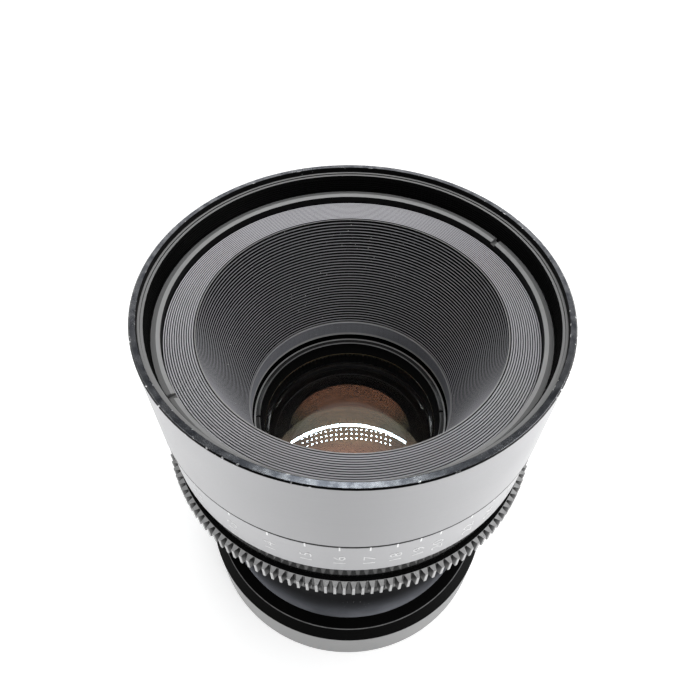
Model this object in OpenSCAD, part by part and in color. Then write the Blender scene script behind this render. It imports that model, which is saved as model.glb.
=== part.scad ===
// Cinema prime lens standing on its rear cap, millimetres, z = 0 is the table, +Z points to the front.
// The optical axis is the Z axis. All parts are drawn in place, at the rest pose.

/* [Front barrel] */
// outer diameter of the front, where a matte box clamps
front_d = 114; // [104:0.5:124]
// height of the fixed front barrel
front_h = 30.1; // [29.8:0.1:32]
// bevel on the rim's outer edge
rim_bevel = 0.4; // [0.3:0.1:0.8]
// small bevel on edges that meet a groove
edge_bevel = 0.3; // [0.2:0.1:0.4]
// radial width of the flat rim
rim_w = 1.8; // [1.6:0.1:2.2]
// depth of the recess inside the rim
rim_depth = 1.7; // [1.4:0.1:1.9]
// step from the rim recess in to the filter bore
filter_step = 1.3; // [1.2:0.05:1.5]
// radial width of the small step above the filter bore
lead_w = 0.7; // [0.6:0.05:0.8]
// height of that step
lead_h = 0.4; // [0.3:0.05:0.6]
// length of the filter thread's bore
filter_len = 5.3; // [5:0.1:5.6]
// step from the filter bore to the ring seat
seat_step = 0.6; // [0.5:0.05:0.8]
// height of the ring seat under the filter bore
seat_h = 6.1; // [6:0.1:6.6]
// thickness of the ledge under the ring seat
ledge_t = 2.5; // [2:0.1:3]
// radial width of that ledge
ledge_w = 3.3; // [3:0.1:3.6]
// wall of the front barrel below the ledge
front_wall = 2.5; // [2:0.1:3]
// thickness of the flange on the main barrel
flange_t = 3.6; // [3.3:0.1:4]

/* [Front baffle] */
// thickness of the baffle tube's flange
tube_flange_t = 1.8; // [1.5:0.1:2.1]
// wall of the baffle tube
tube_wall = 1.6; // [1.3:0.1:1.9]
// radial room for the ridged lining
lining_t = 1.3; // [1.1:0.1:1.5]
// room between the ridged land and the glass cell's nose
nose_gap = 0.4; // [0.3:0.05:0.6]
// radial width of the flat ridged annulus
flat_w = 8.6; // [7.5:0.1:9.5]
// height of the straight ridged end
cone_land = 6.7; // [6.4:0.1:7]
// number of ridges down the cone
cone_ridges = 38; // [30:1:40]
// depth of a cone ridge
ridge_d = 0.55; // [0.4:0.05:0.65]
// number of rings on the flat
flat_ridges = 13; // [10:1:14]
// depth of the fine rings
fine_d = 0.35; // [0.25:0.05:0.45]
// number of fine rings on the straight end
land_ridges = 12; // [8:1:13]
// radial width of the slotted retaining ring
ring_w = 2.3; // [2.1:0.1:2.5]
// radial width of the bevel on that ring's inner edge
ring_bevel = 1; // [0.8:0.1:1.2]
// drop of that bevel
ring_drop = 0.5; // [0.4:0.05:0.7]
// width of a spanner slot
slot_w = 1.6; // [1.2:0.1:2.4]
// depth of a spanner slot
slot_d = 1.2; // [0.8:0.1:1.5]

/* [Focus ring] */
// height of the scale band
scale_h = 15.7; // [15.4:0.1:16.2]
// how far the scale band lies inside the front's radius
scale_inset = 0.55; // [0.5:0.05:0.8]
// height of the dark groove above the gear
groove_h = 8; // [7.6:0.1:8.4]
// depth of the dark groove
groove_d = 0.75; // [0.6:0.05:1]
// width of the focus gear's face
focus_gear_w = 5; // [4.8:0.1:5.4]
// how far the focus gear's pitch circle stands outside the front barrel
gear_proud = 0.6; // [0.4:0.05:0.9]
// gear module
gear_module = 0.8; // [0.79:0.005:0.81]
// radial thickness of the gear ring below its roots
gear_web = 3.4; // [3.2:0.05:3.5]
// wall of the focus ring under its groove
focus_wall = 3.6; // [3.4:0.05:4]
// height of the rear bearing ring
bearing_rear_h = 1.6; // [1.4:0.1:1.8]
// height of the front bearing ring
bearing_front_h = 5.2; // [4.8:0.1:5.4]
// focus travel below the rest pose, degrees
focus_back = 39; // [35:1:45]
// focus travel above the rest pose, degrees
focus_fwd = 251; // [240:1:255]
// axial travel of the optics in one turn
focus_lead = 12.4; // [12:0.1:12.6]
// radius of the focus stop pin
stop_r = 1.1; // [0.9:0.05:1.2]

/* [Main barrel] */
// radial room for the focus thread, between the main barrel and the focus ring
thread_room = 3.5; // [3.2:0.1:4]
// wall of the main barrel
main_wall = 3.1; // [2.8:0.05:3.5]
// thickness of the main barrel's bottom plate
main_plate = 2.9; // [2.7:0.1:3.1]
// radial width of the plate at the foot of the main barrel
main_lip = 4.3; // [4:0.1:4.8]
// height of the index ring
index_h = 12.1; // [11.8:0.1:12.6]
// wall of the index ring
index_t = 2.6; // [2.2:0.1:3]

/* [Iris ring] */
// height of the iris scale
iris_scale_h = 9.7; // [9.5:0.1:10.2]
// how far the iris ring stands out from the rear barrel
iris_proud = 1.2; // [0.8:0.1:1.5]
// width of the iris gear's face
iris_gear_w = 5; // [4.8:0.1:5.4]
// how far the iris gear's pitch circle stands outside the iris ring
iris_gear_proud = 1.8; // [1.4:0.1:2.2]
// swing of the iris ring, degrees
iris_swing = 36; // [30:1:36]
// diameter of the pin that drives the iris
pin_d = 3; // [2.6:0.1:3.2]
// height of that pin above the iris ring's lower face
pin_z = 7.2; // [7:0.1:7.4]
// thickness of the fork's plate
fork_plate = 1.2; // [1:0.1:1.4]
// length of the fork's two prongs
fork_len = 1.9; // [1.7:0.1:2.2]

/* [Rear barrel] */
// step from the neck out to the rear barrel
waist_step = 2.4; // [2:0.1:2.8]
// height of the rear barrel's black wall
rear_h = 29.5; // [29.2:0.1:31]
// wall of the neck
neck_wall = 3.8; // [3.4:0.1:4.2]
// step from the main barrel in to the neck
neck_step = 2.8; // [2.5:0.1:3.1]
// thickness of the rear barrel's end plate
rear_plate = 4; // [3.6:0.1:4.4]

/* [Lens mount] */
// radius of the mount's register tube, 54 mm four-lug pattern
throat_r = 26.99; // [26.95:0.01:27]
// wall of the throat
throat_wall = 2.99; // [2.4:0.01:3.4]
// length of the register tube below the lugs
throat_len = 5.7; // [5.4:0.1:5.9]
// thickness of the lug plate
lug_t = 3; // [2.7:0.1:3.2]
// how far the lugs reach out from the throat
lug_out = 7.51; // [7:0.01:8]
// how far the lug ring stands out from the throat between the lugs
lug_root = 4.01; // [3.6:0.01:4.4]
// angle that one lug spans
lug_span = 52; // [46:1:56]
// gap behind the lugs, for a locking ring
lug_gap = 3.2; // [3:0.1:3.3]
// thickness of the mount's upper flange
mount_flange = 2; // [1.8:0.1:2.2]
// thickness of the shim
shim_t = 0.3; // [0.25:0.05:0.4]
// how far the flange reaches past the lugs
flange_out = 1.5; // [1.2:0.1:2]

/* [Rear cap] */
// how far the cap stands out from the rear barrel
cap_brim = 6.6; // [6.2:0.1:7]
// height of the cap
cap_h = 20.2; // [20.1:0.1:20.8]
// thickness of the cap's floor
cap_base = 3; // [2.6:0.1:4]
// height of the cap's sloping shoulder
cap_slope_h = 3.4; // [3:0.1:3.6]
// radial width of the sloping shoulder
cap_slope_w = 2.9; // [2.5:0.1:3.1]
// how far the cap's top laps under the rear barrel
cap_lap = 2.2; // [1.8:0.1:2.6]

/* [Optics] */
// wall of the glass cell's nose
cell_wall = 2.3; // [2.1:0.05:2.6]
// lip of the nose around the glass retainer
nose_lip = 0.5; // [0.4:0.05:0.7]
// height of the glass retainer
retain_h = 4.75; // [4.4:0.05:5]
// flat top of the glass retainer, radially
retain_flat = 1.1; // [0.9:0.05:1.2]
// fall of that flat towards the glass
retain_dish = 0.14; // [0.1:0.01:0.2]
// small bevel inside that flat
retain_bevel = 0.3; // [0.2:0.05:0.4]
// radius of the front element
front_glass_r = 29.3; // [29.1:0.05:29.4]
// radius of the inner glass of the front group
mid_glass_r = 22; // [21.6:0.1:22.2]
// radius of the rear group's glass
rear_glass_r = 17; // [16.7:0.1:17.2]
// thickness of the carrier plate
carrier_t = 2.5; // [2.3:0.1:2.7]
// wall of the carrier tube
carrier_wall = 2.7; // [2.4:0.1:3]
// diameter of the pins that couple the optics to the focus thread
key_d = 3; // [2.6:0.1:3.2]
// height of the ring that runs in the focus thread
helicoid_h = 10; // [9:0.5:10.5]

/* [Iris] */
// width of a blade
blade_w = 6; // [5.6:0.1:6.4]
// step from the pivots in to the blades' outer edge
pivot_step = 1.8; // [1.6:0.1:2]
// circle of the blade pivots
pivot_circle = 25.6; // [25.5:0.05:25.8]
// radius of a pivot pin
pivot_r = 0.8; // [0.7:0.05:0.85]
// thickness of a blade
blade_t = 0.2; // [0.15:0.05:0.2]
// step from one blade to the next
blade_step = 0.35; // [0.35:0.01:0.38]
// angle that a blade spans
blade_span = 100; // [90:1:104]
// distance from the pivot to the blade's drive stud
lever = 3.4; // [3.2:0.1:3.6]
// radius of the drive stud
stud_r = 0.6; // [0.5:0.05:0.65]

/* [Clearances] */
// gap between rings that turn past each other
ring_gap = 0.4; // [0.35:0.05:0.5]
// gap between other faces that move past each other
side_gap = 0.3; // [0.25:0.05:0.35]
// running clearance of pins in holes
run_gap = 0.1; // [0.08:0.01:0.12]

/* [Hidden] */
$fn = 96;
e = 0.5;
front_r = front_d / 2;
rim_r = front_r - rim_w;
filter_r = rim_r - filter_step;
seat_r = filter_r - seat_step;
scale_r = front_r - scale_inset;
groove_r = scale_r - groove_d;
focus_in_r = groove_r - focus_wall;
main_r = focus_in_r - thread_room;
main_bore = main_r - main_wall;
main_open = main_bore - main_lip;
index_r = main_r + index_t;
neck_r = main_r - neck_step;
rear_bore = neck_r - neck_wall;
rear_r = neck_r + waist_step;
iris_r = rear_r + iris_proud;
cap_r = rear_r + cap_brim;
cap_bore = rear_r - cap_lap;
barrel_screw_c = (rear_bore + neck_r) / 2;
front_screw_c = (main_bore + main_r) / 2;
// whole numbers of teeth that suit the module
focus_teeth = round(2 * (front_r + gear_proud) / gear_module);
iris_teeth = round(2 * (iris_r + iris_gear_proud) / gear_module);
// mount radii, outwards from the throat
mount_bore = throat_r - throat_wall;
mount_neck_r = throat_r + 3.01;
lug_gap_r = throat_r + lug_root;
lug_r = throat_r + lug_out;
mount_flange_r = lug_r + flange_out;
// glass cell and front cone
nose_r = front_glass_r + cell_wall;
cone_r0 = nose_r + nose_gap;
cone_r1 = seat_r - ring_w - flat_w;
cell_r = mid_glass_r + 4.5;
cell_lip_r = mid_glass_r - 4;
blade_out = pivot_circle - pivot_step;
blade_in = blade_out - blade_w;
// heights, stacked from the table
z_rb = cap_h + side_gap;
z_neck = z_rb + rear_h;
z_iris0 = z_neck + side_gap;
z_igear = z_iris0 + iris_scale_h;
z_iris1 = z_igear + iris_gear_w;
z_main = z_iris1 + side_gap;
z_index = z_main + index_h;
z_focus0 = z_index + ring_gap;
z_fgear1 = z_focus0 + focus_gear_w;
z_scale0 = z_fgear1 + groove_h;
z_focus1 = z_scale0 + scale_h;
z_front = z_focus1 + ring_gap;
z_top = z_front + front_h;
// front recess, stacked down from the rim
z_filter1 = z_top - rim_depth;
z_seat1 = z_filter1 - lead_h - filter_len;
z_seat0 = z_seat1 - seat_h;
z_flat0 = z_seat0 + tube_flange_t;
z_flat1 = z_flat0 + lining_t;
// optics travel
travel_back = focus_lead * focus_back / 360;
travel_fwd = focus_lead * focus_fwd / 360;
z_car = z_main + main_plate + travel_back + 1.2 * side_gap;
z_car1 = z_car + carrier_t;
z_land0 = z_car1 + travel_fwd + 1.456;
z_cone0 = z_land0 + cone_land;
z_cone1 = z_flat1 - 0.3;
carrier_r = main_bore - side_gap;
z_key = z_car + 16.5;
heli_in = main_r + side_gap;
heli_out = focus_in_r - 0.2;
// gears
function pitch_r(n) = n * gear_module / 2;
function tip_r(n) = pitch_r(n) + gear_module;
function root_r(n) = pitch_r(n) - 1.25 * gear_module;
focus_seat_r = root_r(focus_teeth) - gear_web;
iris_seat_r = root_r(iris_teeth) - 2;
// cone
function cone_r(z) = cone_r0 + (z - z_cone0) * (cone_r1 - cone_r0) / (z_cone1 - z_cone0);
// glass: front group
r1 = 110;
r2 = 180;
r3 = 60;
r4 = 45;
function sag(r, a) = r - sqrt(r * r - a * a);
z_e1b = z_car + 2;
z_ledge1 = z_e1b - sag(r2, front_glass_r);
z_e1f = z_e1b + 8;
z_edge1 = z_e1f - sag(r1, front_glass_r);
retain_in = front_glass_r - 0.9;
z_ret0 = z_e1f - sag(r1, retain_in);
z_nose = z_ret0 + retain_h;
z_e2f = z_car - 1;
z_edge2 = z_e2f - sag(r3, mid_glass_r);
z_cement1 = z_car - 8.5;
z_e3b = z_car - 11.5;
z_rim3 = z_e3b - sag(r4, cell_lip_r);
z_cell0 = z_rim3 - 1.36;
// iris stack, downward from the front cell
z_drive1 = z_cell0 - ring_gap;
z_drive0 = z_drive1 - 1.7;
z_blade0 = z_drive0 - side_gap - 7 * blade_step - blade_t;
z_base1 = z_blade0 - side_gap;
z_base0 = z_base1 - 2;
// rear group, downward from the iris base
r5 = 40;
r6 = 38;
r7 = 70;
r8 = 60;
z_e4f = z_base0 - sag(r5, rear_glass_r);
z_cement2 = z_base0 - 5.5;
z_e5b = z_cement2 - 8;
z_edge5 = z_e5b + sag(r6, rear_glass_r);
z_e6f = z_e5b - 1;
z_edge6f = z_e6f - sag(r7, rear_glass_r);
z_e6b = z_e6f - 7;
z_edge6b = z_e6b + sag(r8, rear_glass_r);
z_rcell0 = z_edge6b - 1.36;
rear_cell_r = rear_glass_r + 5.5;
cell_flange_r = rear_cell_r + 5;
cell_screw_c = rear_cell_r + 2.3;
plate_hole_r = rear_cell_r + 2.5;
// iris drive
z_pin = z_iris0 + pin_z;
iris_in = neck_r + side_gap;
house_in = max(nose_r - 0.9, pivot_circle + lever + 1.7);
house_out = house_in + 2;
drive_r = house_in - 1.5;
fork_in = house_out + 2 * side_gap;
fork_half = pin_d / 2 + side_gap;
fork_bar = 3.2;
fork_z0 = z_pin - pin_d / 2 - travel_fwd - 0.5;
fork_z1 = z_pin + pin_d / 2 + travel_back + 0.5;
pin_az = 180;
// mount
z_lug1 = z_rb - shim_t - mount_flange - lug_gap;
z_lug0 = z_lug1 - lug_t;
z_throat = z_lug0 - throat_len;
mount_screw_c = mount_flange_r - 2.8;
stop_c = groove_r - 1.3;
stop_az = 90;
gear_screw_c = focus_seat_r + 1;

// helpers
module tube(r0, r1, z0, z1) {
  translate([0, 0, z0])
    rotate_extrude()
      translate([r0, 0])
        square([r1 - r0, z1 - z0]);
}
module spin(n, start = 0) {
  for (i = [0 : n - 1])
    rotate([0, 0, start + i * 360 / n])
      children();
}
module post(r, c, z0, z1) {
  translate([c, 0, z0])
    cylinder(r = r, h = z1 - z0, $fn = 32);
}
module radial_pin(r, c0, c1, z) {
  translate([c0, 0, z])
    rotate([0, 90, 0])
      cylinder(r = r, h = c1 - c0, $fn = 32);
}
// a wedge that starts at angle a0 and spans a
module sector(r0, r1, z0, z1, a0, a) {
  rotate([0, 0, a0])
    translate([0, 0, z0])
      rotate_extrude(angle = a)
        translate([r0, 0])
          square([r1 - r0, z1 - z0]);
}
// straight-flank tooth: half angles at root and tip
function tooth(n, i) = let (
    rr = root_r(n),
    rt = tip_r(n),
    p = 360 / n,
    a = i * p,
    hr = 0.36 * p,
    ht = 0.14 * p)
  [[rr * cos(a - hr), rr * sin(a - hr)], [rt * cos(a - ht), rt * sin(a - ht)],
   [rt * cos(a + ht), rt * sin(a + ht)], [rr * cos(a + hr), rr * sin(a + hr)]];
module gear_ring(n, bore, z0, w) {
  pts = [for (i = [0 : n - 1]) each tooth(n, i)];
  translate([0, 0, z0])
    difference() {
      linear_extrude(height = w)
        polygon(pts);
      translate([0, 0, -e])
        cylinder(r = bore, h = w + 2 * e);
    }
}
// the glass between two spherical faces; positive radius bulges to the front
module ball_cap(r, z) {
  translate([0, 0, z - r])
    sphere(r = r, $fn = 240);
}

// rear cap, the lens stands on it
module rear_cap() {
  color([0.56, 0.56, 0.57])
    rotate_extrude()
      polygon([[0, 0], [cap_r - 0.5, 0], [cap_r, 0.5], [cap_r, cap_h - cap_slope_h],
        [cap_r - cap_slope_w, cap_h], [cap_bore, cap_h], [cap_bore, cap_base], [0, cap_base]]);
}

// four-lug mount
module lens_mount() {
  color([0.72, 0.72, 0.73])
    difference() {
      union() {
        tube(mount_bore, throat_r, z_throat, z_lug0);
        tube(mount_bore, lug_r, z_lug0, z_lug1);
        tube(mount_bore, mount_neck_r, z_lug1, z_lug1 + lug_gap);
        tube(mount_bore, mount_flange_r, z_lug1 + lug_gap, z_rb - shim_t);
      }
      spin(4, 45)
        post(1.1, mount_screw_c, z_lug1 + lug_gap - e, z_rb);
      // the gaps between the lugs
      for (i = [0 : 3])
        sector(lug_gap_r, lug_r + 2, z_lug0 - e, z_lug1 + e, i * 90 + lug_span / 2, 90 - lug_span);
      // locating notch in one lug
      translate([lug_r - 2.2, -2, z_lug0 - e])
        cube([4, 4, lug_t + 2 * e]);
    }
}
module mount_shim() {
  color([0.8, 0.65, 0.35])
    difference() {
      tube(mount_neck_r + 0.5, mount_flange_r, z_rb - shim_t, z_rb);
      spin(4, 45)
        post(1.1, mount_screw_c, z_rb - 1, z_rb + 1);
    }
}
module mount_screws() {
  color([0.3, 0.3, 0.3])
    spin(4, 45)
      union() {
        post(1.1, mount_screw_c, z_lug1 + lug_gap, z_rb + 3.5);
        post(1.9, mount_screw_c, z_lug1 + lug_gap - 1, z_lug1 + lug_gap);
      }
}

// black rear barrel with a neck inside the iris ring
module rear_barrel() {
  sweep = asin((pin_d / 2 + 2 * side_gap) / rear_bore);
  color([0.05, 0.05, 0.055])
    difference() {
      rotate_extrude()
        polygon([[plate_hole_r, z_rb], [rear_r - 0.6, z_rb], [rear_r, z_rb + 0.6], [rear_r, z_neck], [neck_r, z_neck],
          [neck_r, z_main], [rear_bore, z_main], [rear_bore, z_rb + rear_plate], [plate_hole_r, z_rb + rear_plate]]);
      spin(4, 45)
        post(1.1, mount_screw_c, z_rb - 1, z_rb + 3.5);
      spin(6, 45)
        post(0.8, barrel_screw_c, z_main - 7, z_main + 1);
      sector(rear_bore - 2, neck_r + 2, z_pin - pin_d / 2 - side_gap, z_pin + pin_d / 2 + side_gap,
        pin_az - sweep, iris_swing + 2 * sweep);
    }
}

// fixed barrel that carries the focus ring and guides the optics
module main_barrel() {
  color([0.1, 0.1, 0.1])
    difference() {
      union() {
        tube(main_open, main_r, z_main, z_main + main_plate);
        tube(main_bore, main_r, z_main + main_plate, z_front);
      }
      // guide slots for the coupling pins
      spin(3, 30)
        translate([main_bore - 1, -key_d / 2 - side_gap, z_key - travel_back - key_d / 2 - 2 * side_gap])
          cube([main_r - main_bore + 2, key_d + 2 * side_gap, travel_back + travel_fwd + key_d + 4 * side_gap]);
      spin(6, 45)
        union() {
          post(0.8, barrel_screw_c, z_main - 1, z_main + main_plate);
          post(1.5, barrel_screw_c, z_main + main_plate - 1.2, z_main + main_plate + 1);
        }
      spin(6, 0)
        post(0.7, front_screw_c, z_front - 6, z_front + 1);
    }
}
module barrel_screws() {
  color([0.3, 0.3, 0.3])
    spin(6, 45)
      union() {
        post(0.8, barrel_screw_c, z_main - 7, z_main + main_plate - 1.2);
        post(1.5, barrel_screw_c, z_main + main_plate - 1.2, z_main + main_plate);
      }
}
module index_ring() {
  color([0.08, 0.08, 0.085])
    rotate_extrude()
      polygon([[main_r, z_main], [index_r - edge_bevel, z_main], [index_r, z_main + edge_bevel],
        [index_r, z_index - edge_bevel], [index_r - edge_bevel, z_index], [main_r, z_index]]);
}

// satin front barrel with rim recess, filter bore and ring seat
module front_barrel() {
  color([0.6, 0.6, 0.61])
    difference() {
      rotate_extrude()
        polygon([[main_bore + 0.5, z_front], [front_r - edge_bevel, z_front], [front_r, z_front + edge_bevel],
          [front_r, z_top - rim_bevel], [front_r - rim_bevel, z_top], [rim_r, z_top],
          [rim_r, z_filter1], [filter_r + lead_w, z_filter1], [filter_r + lead_w, z_filter1 - lead_h],
          [filter_r, z_filter1 - lead_h], [filter_r, z_seat1], [seat_r, z_seat1],
          [seat_r, z_seat0], [seat_r - ledge_w, z_seat0], [seat_r - ledge_w, z_seat0 - ledge_t],
          [front_r - front_wall, z_seat0 - ledge_t], [front_r - front_wall, z_front + flange_t],
          [main_bore + 0.5, z_front + flange_t]]);
      spin(6, 0)
        union() {
          post(0.7, front_screw_c, z_front - 1, z_front + flange_t);
          post(1.3, front_screw_c + 0.3, z_front + flange_t - 1.2, z_front + flange_t + 1);
        }
      rotate([0, 0, stop_az])
        post(stop_r, stop_c, z_front - 1, z_front + 2.1);
    }
}
module front_screws() {
  color([0.3, 0.3, 0.3])
    spin(6, 0)
      union() {
        post(0.7, front_screw_c, z_front - 6, z_front + flange_t - 1.2);
        post(1.3, front_screw_c + 0.3, z_front + flange_t - 1.2, z_front + flange_t);
      }
}
module focus_stop_pin() {
  color([0.7, 0.7, 0.7])
    rotate([0, 0, stop_az])
      post(stop_r, stop_c, z_focus1 - 2.2, z_front + 2.1);
}

// plain cone tube that holds the ridged lining
module front_tube() {
  color([0.07, 0.07, 0.07])
    rotate_extrude()
      polygon([[seat_r, z_seat0], [seat_r, z_flat0], [cone_r(z_flat0) + lining_t, z_flat0],
        [cone_r0 + lining_t, z_cone0], [cone_r0 + lining_t, z_land0], [cone_r0 + lining_t + tube_wall, z_land0],
        [cone_r0 + lining_t + tube_wall, z_cone0], [cone_r(z_seat0) + lining_t + tube_wall, z_seat0]]);
}
// turned light-trap ridges: fine rings, cone ridges, flat rings
module ridged_baffle() {
  flat_r = seat_r - ring_w - 0.1;
  land = [for (i = [0 : land_ridges - 1]) let (p = (cone_land - 0.6) / land_ridges, z = z_land0 + 0.3 + i * p)
    each [[cone_r0 + fine_d, z], [cone_r0, z + p / 2]]];
  cone = [for (i = [0 : cone_ridges - 1]) let (p = (z_cone1 - z_cone0) / cone_ridges, z = z_cone0 + i * p)
    each [[cone_r(z + 0.35 * p) + ridge_d, z + 0.35 * p], [cone_r(z + p), z + p]]];
  flat = [for (i = [0 : flat_ridges - 1]) let (p = (flat_r - cone_r1 - 0.4) / flat_ridges, x = cone_r1 + 0.2 + i * p)
    each [[x + p / 2, z_flat1 - fine_d], [x + p, z_flat1]]];
  color([0.12, 0.12, 0.12])
    rotate_extrude()
      polygon(concat([[flat_r, z_flat0], [cone_r(z_flat0) + lining_t, z_flat0], [cone_r0 + lining_t, z_cone0],
        [cone_r0 + lining_t, z_land0]], [[cone_r0 + fine_d, z_land0]], land, [[cone_r0, z_cone0]],
        cone, flat, [[flat_r, z_flat1 - fine_d]]));
}
module front_retaining_ring() {
  top = z_seat1 - 0.2;
  color([0.25, 0.25, 0.25])
    difference() {
      rotate_extrude()
        polygon([[seat_r - ring_w, z_flat0], [seat_r, z_flat0], [seat_r, top - edge_bevel / 2],
          [seat_r - edge_bevel / 2, top], [seat_r - ring_w + ring_bevel, top], [seat_r - ring_w, top - ring_drop]]);
      for (a = [35.6, 215.6])
        rotate([0, 0, a])
          translate([seat_r - ring_w - 1, -slot_w / 2, top - slot_d])
            cube([ring_w + 2, slot_w, slot_d + 1]);
    }
}

// turning focus ring: scale band, dark groove, gear seat, stop groove
module focus_ring() {
  half = asin((stop_r + side_gap) / stop_c);
  color([0.58, 0.58, 0.59])
    difference() {
      rotate_extrude()
        polygon([[focus_in_r, z_focus0], [focus_seat_r, z_focus0], [focus_seat_r, z_fgear1],
          [groove_r, z_fgear1], [groove_r, z_scale0], [scale_r - edge_bevel, z_scale0],
          [scale_r, z_scale0 + edge_bevel], [scale_r, z_focus1 - edge_bevel],
          [scale_r - edge_bevel, z_focus1], [focus_in_r, z_focus1]]);
      sector(stop_c - stop_r - side_gap, stop_c + stop_r + side_gap, z_focus1 - 2.6, z_focus1 + 1,
        stop_az - focus_fwd - half, focus_back + focus_fwd + 2 * half);
      spin(6, 0)
        post(0.5, gear_screw_c, z_fgear1 - 1, z_fgear1 + 3);
    }
}
module focus_gear() {
  color([0.14, 0.14, 0.14])
    difference() {
      gear_ring(focus_teeth, focus_seat_r, z_focus0, focus_gear_w);
      spin(6, 0)
        union() {
          post(0.5, gear_screw_c, z_focus0, z_fgear1 + 1);
          post(0.9, gear_screw_c, z_focus0 - 1, z_focus0 + 1);
        }
    }
}
module gear_screws() {
  color([0.3, 0.3, 0.3])
    spin(6, 0)
      union() {
        post(0.5, gear_screw_c, z_focus0 + 1, z_fgear1 + 3);
        post(0.9, gear_screw_c, z_focus0, z_focus0 + 1);
      }
}
module focus_bearing_rear() {
  color([0.7, 0.52, 0.25])
    tube(heli_in, focus_in_r, z_focus0, z_focus0 + bearing_rear_h);
}
module focus_bearing_front() {
  color([0.7, 0.52, 0.25])
    tube(heli_in, focus_in_r, z_focus1 - side_gap - bearing_front_h, z_focus1 - side_gap);
}

// optics unit: runs along the axis, held straight by three pins
module helicoid_ring() {
  color([0.7, 0.52, 0.25])
    difference() {
      tube(heli_in, heli_out, z_key - helicoid_h / 2, z_key + helicoid_h / 2);
      spin(3, 30)
        radial_pin(key_d / 2, carrier_r - carrier_wall, heli_out - 0.2, z_key);
    }
}
module coupling_pins() {
  color([0.7, 0.7, 0.7])
    spin(3, 30)
      radial_pin(key_d / 2, carrier_r - carrier_wall, heli_out - 0.2, z_key);
}
module carrier() {
  color([0.1, 0.1, 0.1])
    difference() {
      union() {
        tube(nose_r - 1.1, carrier_r, z_car, z_car1);
        tube(carrier_r - carrier_wall, carrier_r, z_car1, z_key + 6.5);
      }
      spin(3, 30)
        radial_pin(key_d / 2, carrier_r - carrier_wall - 1, heli_out, z_key);
      spin(3, 90)
        union() {
          post(0.6, (house_in + house_out) / 2 , z_car - 1, z_car1);
          post(1.2, (house_in + house_out) / 2 + 0.5, z_car1 - 1, z_car1 + 1);
        }
    }
}
module front_cell() {
  color([0.06, 0.06, 0.06])
    rotate_extrude()
      polygon([[cell_lip_r, z_cell0], [cell_r, z_cell0], [cell_r, z_car - 5], [nose_r - 1.1, z_car - 5], [nose_r - 1.1, z_car1],
        [nose_r, z_car1], [nose_r, z_nose], [nose_r - nose_lip, z_nose], [nose_r - nose_lip, z_edge1 + 0.2],
        [front_glass_r, z_edge1 + 0.2], [front_glass_r, z_ledge1], [front_glass_r - 1.8, z_ledge1],
        [front_glass_r - 1.8, z_edge2 + 2.2], [mid_glass_r, z_edge2 + 2.2], [mid_glass_r, z_rim3], [cell_lip_r, z_rim3]]);
}
module glass_retainer() {
  out = nose_r - nose_lip;
  top = z_nose - 0.1;
  color([0.3, 0.3, 0.3])
    difference() {
      rotate_extrude()
        polygon([[retain_in, z_ret0], [out, z_ret0], [out, top], [out - retain_flat, top - retain_dish],
          [out - retain_flat - retain_bevel, top - retain_dish - retain_bevel], [retain_in, z_ret0 + retain_bevel]]);
      for (a = [2, 186])
        rotate([0, 0, a])
          translate([out - retain_flat - retain_bevel, -slot_w / 4, top - 0.8])
            cube([retain_flat + retain_bevel + 0.2, slot_w / 2, 2]);
    }
}
module element_1() {
  color([0.6, 0.55, 0.4, 0.4])
    difference() {
      intersection() {
        ball_cap(r1, z_e1f);
        tube(0, front_glass_r, z_e1b - 10, z_e1f + 1);
      }
      ball_cap(r2, z_e1b);
    }
}
module element_2() {
  color([0.6, 0.5, 0.4, 0.4])
    intersection() {
      ball_cap(r3, z_e2f);
      tube(0, mid_glass_r, z_cement1, z_e2f + 1);
    }
}
module element_3() {
  color([0.5, 0.5, 0.4, 0.4])
    difference() {
      tube(0, mid_glass_r, z_rim3, z_cement1);
      intersection() {
        ball_cap(r4, z_e3b);
        tube(0, cell_lip_r, z_rim3 - 1, z_e3b + 1);
      }
    }
}
module inner_retainer() {
  color([0.1, 0.1, 0.1])
    tube(mid_glass_r - 2, mid_glass_r, z_e2f - sag(r3, mid_glass_r - 2), z_edge2 + 2.2);
}

// iris unit
module iris_housing() {
  arm = asin((fork_half + fork_bar + side_gap) / house_in);
  color([0.12, 0.12, 0.12])
    difference() {
      union() {
        tube(blade_in - 0.6, house_out, z_base0, z_base1);
        tube(house_in, house_out, z_base1, z_car);
      }
      sector(house_in - 1, house_out + 1, z_drive1 - side_gap, z_drive1 + 1.4 + side_gap,
        pin_az - arm, iris_swing + 2 * arm);
      spin(8)
        post(pivot_r, pivot_circle, z_base1 - 1, z_base1 + 1);
      spin(3, 90)
        post(0.6, (house_in + house_out) / 2, z_car - 7, z_car + 1);
      spin(3, 22.5)
        post(0.7, cell_screw_c, z_base0 - 1, z_base0 + 1.5);
    }
}
module housing_screws() {
  color([0.3, 0.3, 0.3])
    spin(3, 90)
      union() {
        post(0.6, (house_in + house_out) / 2, z_car - 7, z_car1 - 1);
        post(1.2, (house_in + house_out) / 2 + 0.5, z_car1 - 1, z_car1);
      }
}
module iris_pivots() {
  color([0.7, 0.7, 0.7])
    spin(8)
      post(pivot_r, pivot_circle, z_base1 - 1, z_drive0 - 0.15);
}
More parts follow.
